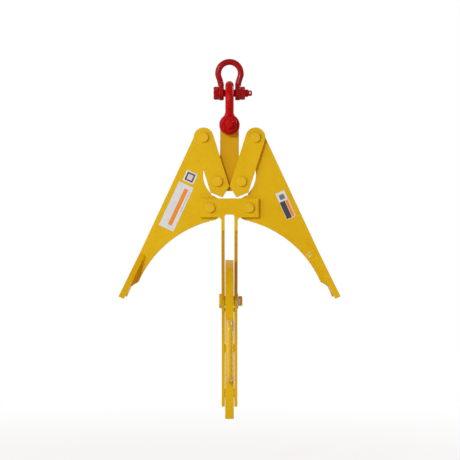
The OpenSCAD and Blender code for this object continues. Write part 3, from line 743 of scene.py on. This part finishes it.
boltPins = {
    "upper": {"centre": (0.06271, 0, 0.842751), "axis": (0, 1, 0), "hole": 0.0022, "reach": 0.0089,
              "finish": "bright", "slot": "zinc_steel"},
    "lower": {"centre": (0, -0.08154, 0.743751), "axis": (1, 0, 0), "hole": 0.0027, "reach": 0.0111,
              "finish": "redWire", "slot": "red_paint"},
}
for pinName, look in boltPins.items():
    wire = splitPinWire(pinName + "_shackle_wire", look["centre"], look["axis"], (0, 0, 1),
                        look["hole"], look["reach"], 0.9, look["finish"])
    place(wire, pinName + "_shackle", look["slot"], pinName + "_shackle_split_pin")
print("split pins done")


# Stickers: thin vinyl with rounded corners on the front faces of the arms, with plain colour blocks

orange = solid(0.80, 0.25, 0.02)
black = solid(0.045, 0.045, 0.055)
grey = solid(0.42, 0.42, 0.43)
stickers = {
    "left_arm_sticker_upper": {
        "body": "left_arm_body", "centre": (-0.1215, -0.0127, 0.5828), "size": (0.0358, 0.0348),
        "lean": 24,
        "blocks": [(-0.0134, 0.0134, -0.0134, 0.0134, solid(0.07, 0.07, 0.09)),
                   (-0.0084, 0.0084, -0.0084, 0.0084, solid(0.62, 0.55, 0.57))]},
    "left_arm_sticker_lower": {
        "body": "left_arm_body", "centre": (-0.1642, -0.0127, 0.4926), "size": (0.0494, 0.1490),
        "lean": 25,
        "blocks": [(-0.0005, 0.0125, -0.0600, 0.0620, orange), (0.0182, 0.0204, -0.0100, 0.0600, grey)]},
    "right_arm_sticker": {
        "body": "right_arm_body", "centre": (0.1726, -0.0127, 0.4974), "size": (0.0297, 0.0880),
        "lean": -24.2,
        "blocks": [(0.0042, 0.0126, -0.0415, 0.0135, orange), (-0.0138, 0.0030, -0.0425, 0.0135, black),
                   (-0.0080, 0.0080, 0.0190, 0.0350, solid(0.16, 0.16, 0.17))]},
}


def sticker(name, look):
    x, depth, z = look["centre"]
    wide, high = look["size"]
    lean = math.radians(look["lean"])
    deselect()
    bpy.ops.mesh.primitive_plane_add(size=1, location=(x, depth - vinyl["gap"], z),
                                     rotation=(math.radians(90), 0, 0))
    piece = bpy.context.object
    piece.name = name
    piece.scale = (wide, high, 1)
    settle(piece)
    bpy.ops.object.mode_set(mode="EDIT")
    bpy.ops.mesh.select_all(action="SELECT")
    bpy.ops.mesh.bevel(offset=vinyl["corner"], segments=vinyl["cornerSteps"], affect="VERTICES")
    bpy.ops.mesh.select_all(action="SELECT")
    bpy.ops.mesh.extrude_region_move(TRANSFORM_OT_translate={"value": (0, -vinyl["thick"], 0)})
    bpy.ops.mesh.select_all(action="SELECT")
    bpy.ops.mesh.normals_make_consistent(inside=False)
    bpy.ops.object.mode_set(mode="OBJECT")
    pivot = Vector((x, depth, z))
    for vertex in piece.data.vertices:
        away = vertex.co - pivot
        vertex.co = pivot + Vector((away.x * math.cos(lean) + away.z * math.sin(lean), away.y,
                                    away.z * math.cos(lean) - away.x * math.sin(lean)))
    piece.data.materials.append(stickerFinish(name + "_vinyl", look["centre"], -lean, look["blocks"]))
    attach(piece, look["body"])


for stickerName, look in stickers.items():
    sticker(stickerName, look)
print("stickers done")


# Studio: pale floor below the hanging grab, surround that is white to the camera and warm as light,
# a cool key lamp, a broad side lamp, a weak fill and a rear lamp. turn is 0 in front, -90 at the left

studio = {
    "floorHeight": -0.36, "floorSize": 16.0, "floorShade": 0.80, "floorShown": 0.80,
    "floorWhiter": (0.6, 3.0),
    "surround": 0.32, "tint": solid(1.22, 0.54, 0.30),
    "aim": (0, 0, 0.42),
    "lamps": {
        "keyLamp": {"turn": -24, "rise": 20, "away": 4.2, "size": 0.70, "power": 86.0,
                    "colour": (0.728, 0.943, 1.0)},
        "sideLamp": {"turn": -62, "rise": 10, "away": 4.5, "size": 3.0, "power": 71.0,
                     "colour": (0.728, 0.943, 1.0)},
        "fillLamp": {"turn": 40, "rise": 10, "away": 4.5, "size": 2.4, "power": 12.0,
                     "colour": (1.0, 0.97, 0.93)},
        "rearLamp": {"turn": 132, "rise": 24, "away": 4.5, "size": 2.0, "power": 92.0,
                     "colour": (0.76, 0.94, 1.0)},
    },
}

deselect()
bpy.ops.mesh.primitive_plane_add(size=studio["floorSize"], location=(0, 0, studio["floorHeight"]))
floor = bpy.context.object
floor.name = "floor"
settle(floor)
floorShader = Shader("floorPaper")
seen = floorShader.node("ShaderNodeLightPath", output="Is Camera Ray")
for ray in ("Is Glossy Ray", "Is Transmission Ray"):
    seen = seen.most(floorShader.node("ShaderNodeLightPath", output=ray))
glow = floorShader.node("ShaderNodeEmission", None, {"Color": solid(1, 1, 1), "Strength": 1.0})
floorShader.finish({"Base Color": solid(*[studio["floorShade"]] * 3), "Roughness": 0.9})
away = floorShader.node("ShaderNodeVectorMath", {"operation": "LENGTH"}, {0: floorShader.place}, output=1)
whiter = studio["floorShown"] + away.above(*studio["floorWhiter"]) * (1.0 - studio["floorShown"])
both = floorShader.node("ShaderNodeMixShader", None, {0: seen * whiter})
floorShader.tree.links.new(floorShader.surface.outputs[0], both.socket.node.inputs[1])
floorShader.tree.links.new(glow.socket, both.socket.node.inputs[2])
floorShader.tree.links.new(both.socket, floorShader.tree.nodes["Material Output"].inputs["Surface"])
floor.data.materials.append(floorShader.material)


def lamp(name, look):
    turn, rise = math.radians(look["turn"]), math.radians(look["rise"])
    aim = Vector(studio["aim"])
    spot = aim + look["away"] * Vector((math.sin(turn) * math.cos(rise), -math.cos(turn) * math.cos(rise),
                                        math.sin(rise)))
    deselect()
    bpy.ops.object.light_add(type="AREA", location=spot)
    made = bpy.context.object
    made.name = name
    made.data.energy = look["power"]
    made.data.size = look["size"]
    made.data.color = look["colour"]
    made.rotation_euler = (aim - spot).to_track_quat("-Z", "Y").to_euler()


for lampName, look in studio["lamps"].items():
    lamp(lampName, look)

world = bpy.data.worlds.new("surround")
bpy.context.scene.world = world
world.use_nodes = True
sky = world.node_tree


def skyNode(kind, settings, sockets):
    made = sky.nodes.new(kind)
    for key, value in settings.items():
        setattr(made, key, value)
    for key, value in sockets.items():
        if isinstance(value, bpy.types.NodeSocket):
            sky.links.new(value, made.inputs[key])
        else:
            made.inputs[key].default_value = value
    return made


# White for the camera and in reflections, dimmer and warm as light on the object
path = skyNode("ShaderNodeLightPath", {}, {})
mirrored = skyNode("ShaderNodeMath", {"operation": "MAXIMUM"}, {
    0: path.outputs["Is Glossy Ray"], 1: path.outputs["Is Transmission Ray"]})
shown = skyNode("ShaderNodeMath", {"operation": "MAXIMUM"}, {
    0: path.outputs["Is Camera Ray"], 1: mirrored.outputs[0]})
dim = solid(*[studio["surround"] * part for part in studio["tint"][:3]])
colour = skyNode("ShaderNodeMix", {"data_type": "RGBA"}, {0: shown.outputs[0], 6: dim, 7: solid(1, 1, 1)})
sky.links.new(colour.outputs[2], sky.nodes["Background"].inputs["Color"])
sky.nodes["Background"].inputs["Strength"].default_value = 1.0

view = {"away": 6.2, "x": 0.0015, "height": 0.420, "frameWidth": 1.4214, "sensor": 36.0}
deselect()
bpy.ops.object.camera_add(location=(view["x"], -view["away"], view["height"]),
                          rotation=(math.radians(90), 0, 0))
camera = bpy.context.object
camera.data.sensor_width = view["sensor"]
camera.data.lens = view["sensor"] * view["away"] / view["frameWidth"]
bpy.context.scene.camera = camera
bpy.context.scene.view_settings.view_transform = "Standard"
print("studio done")
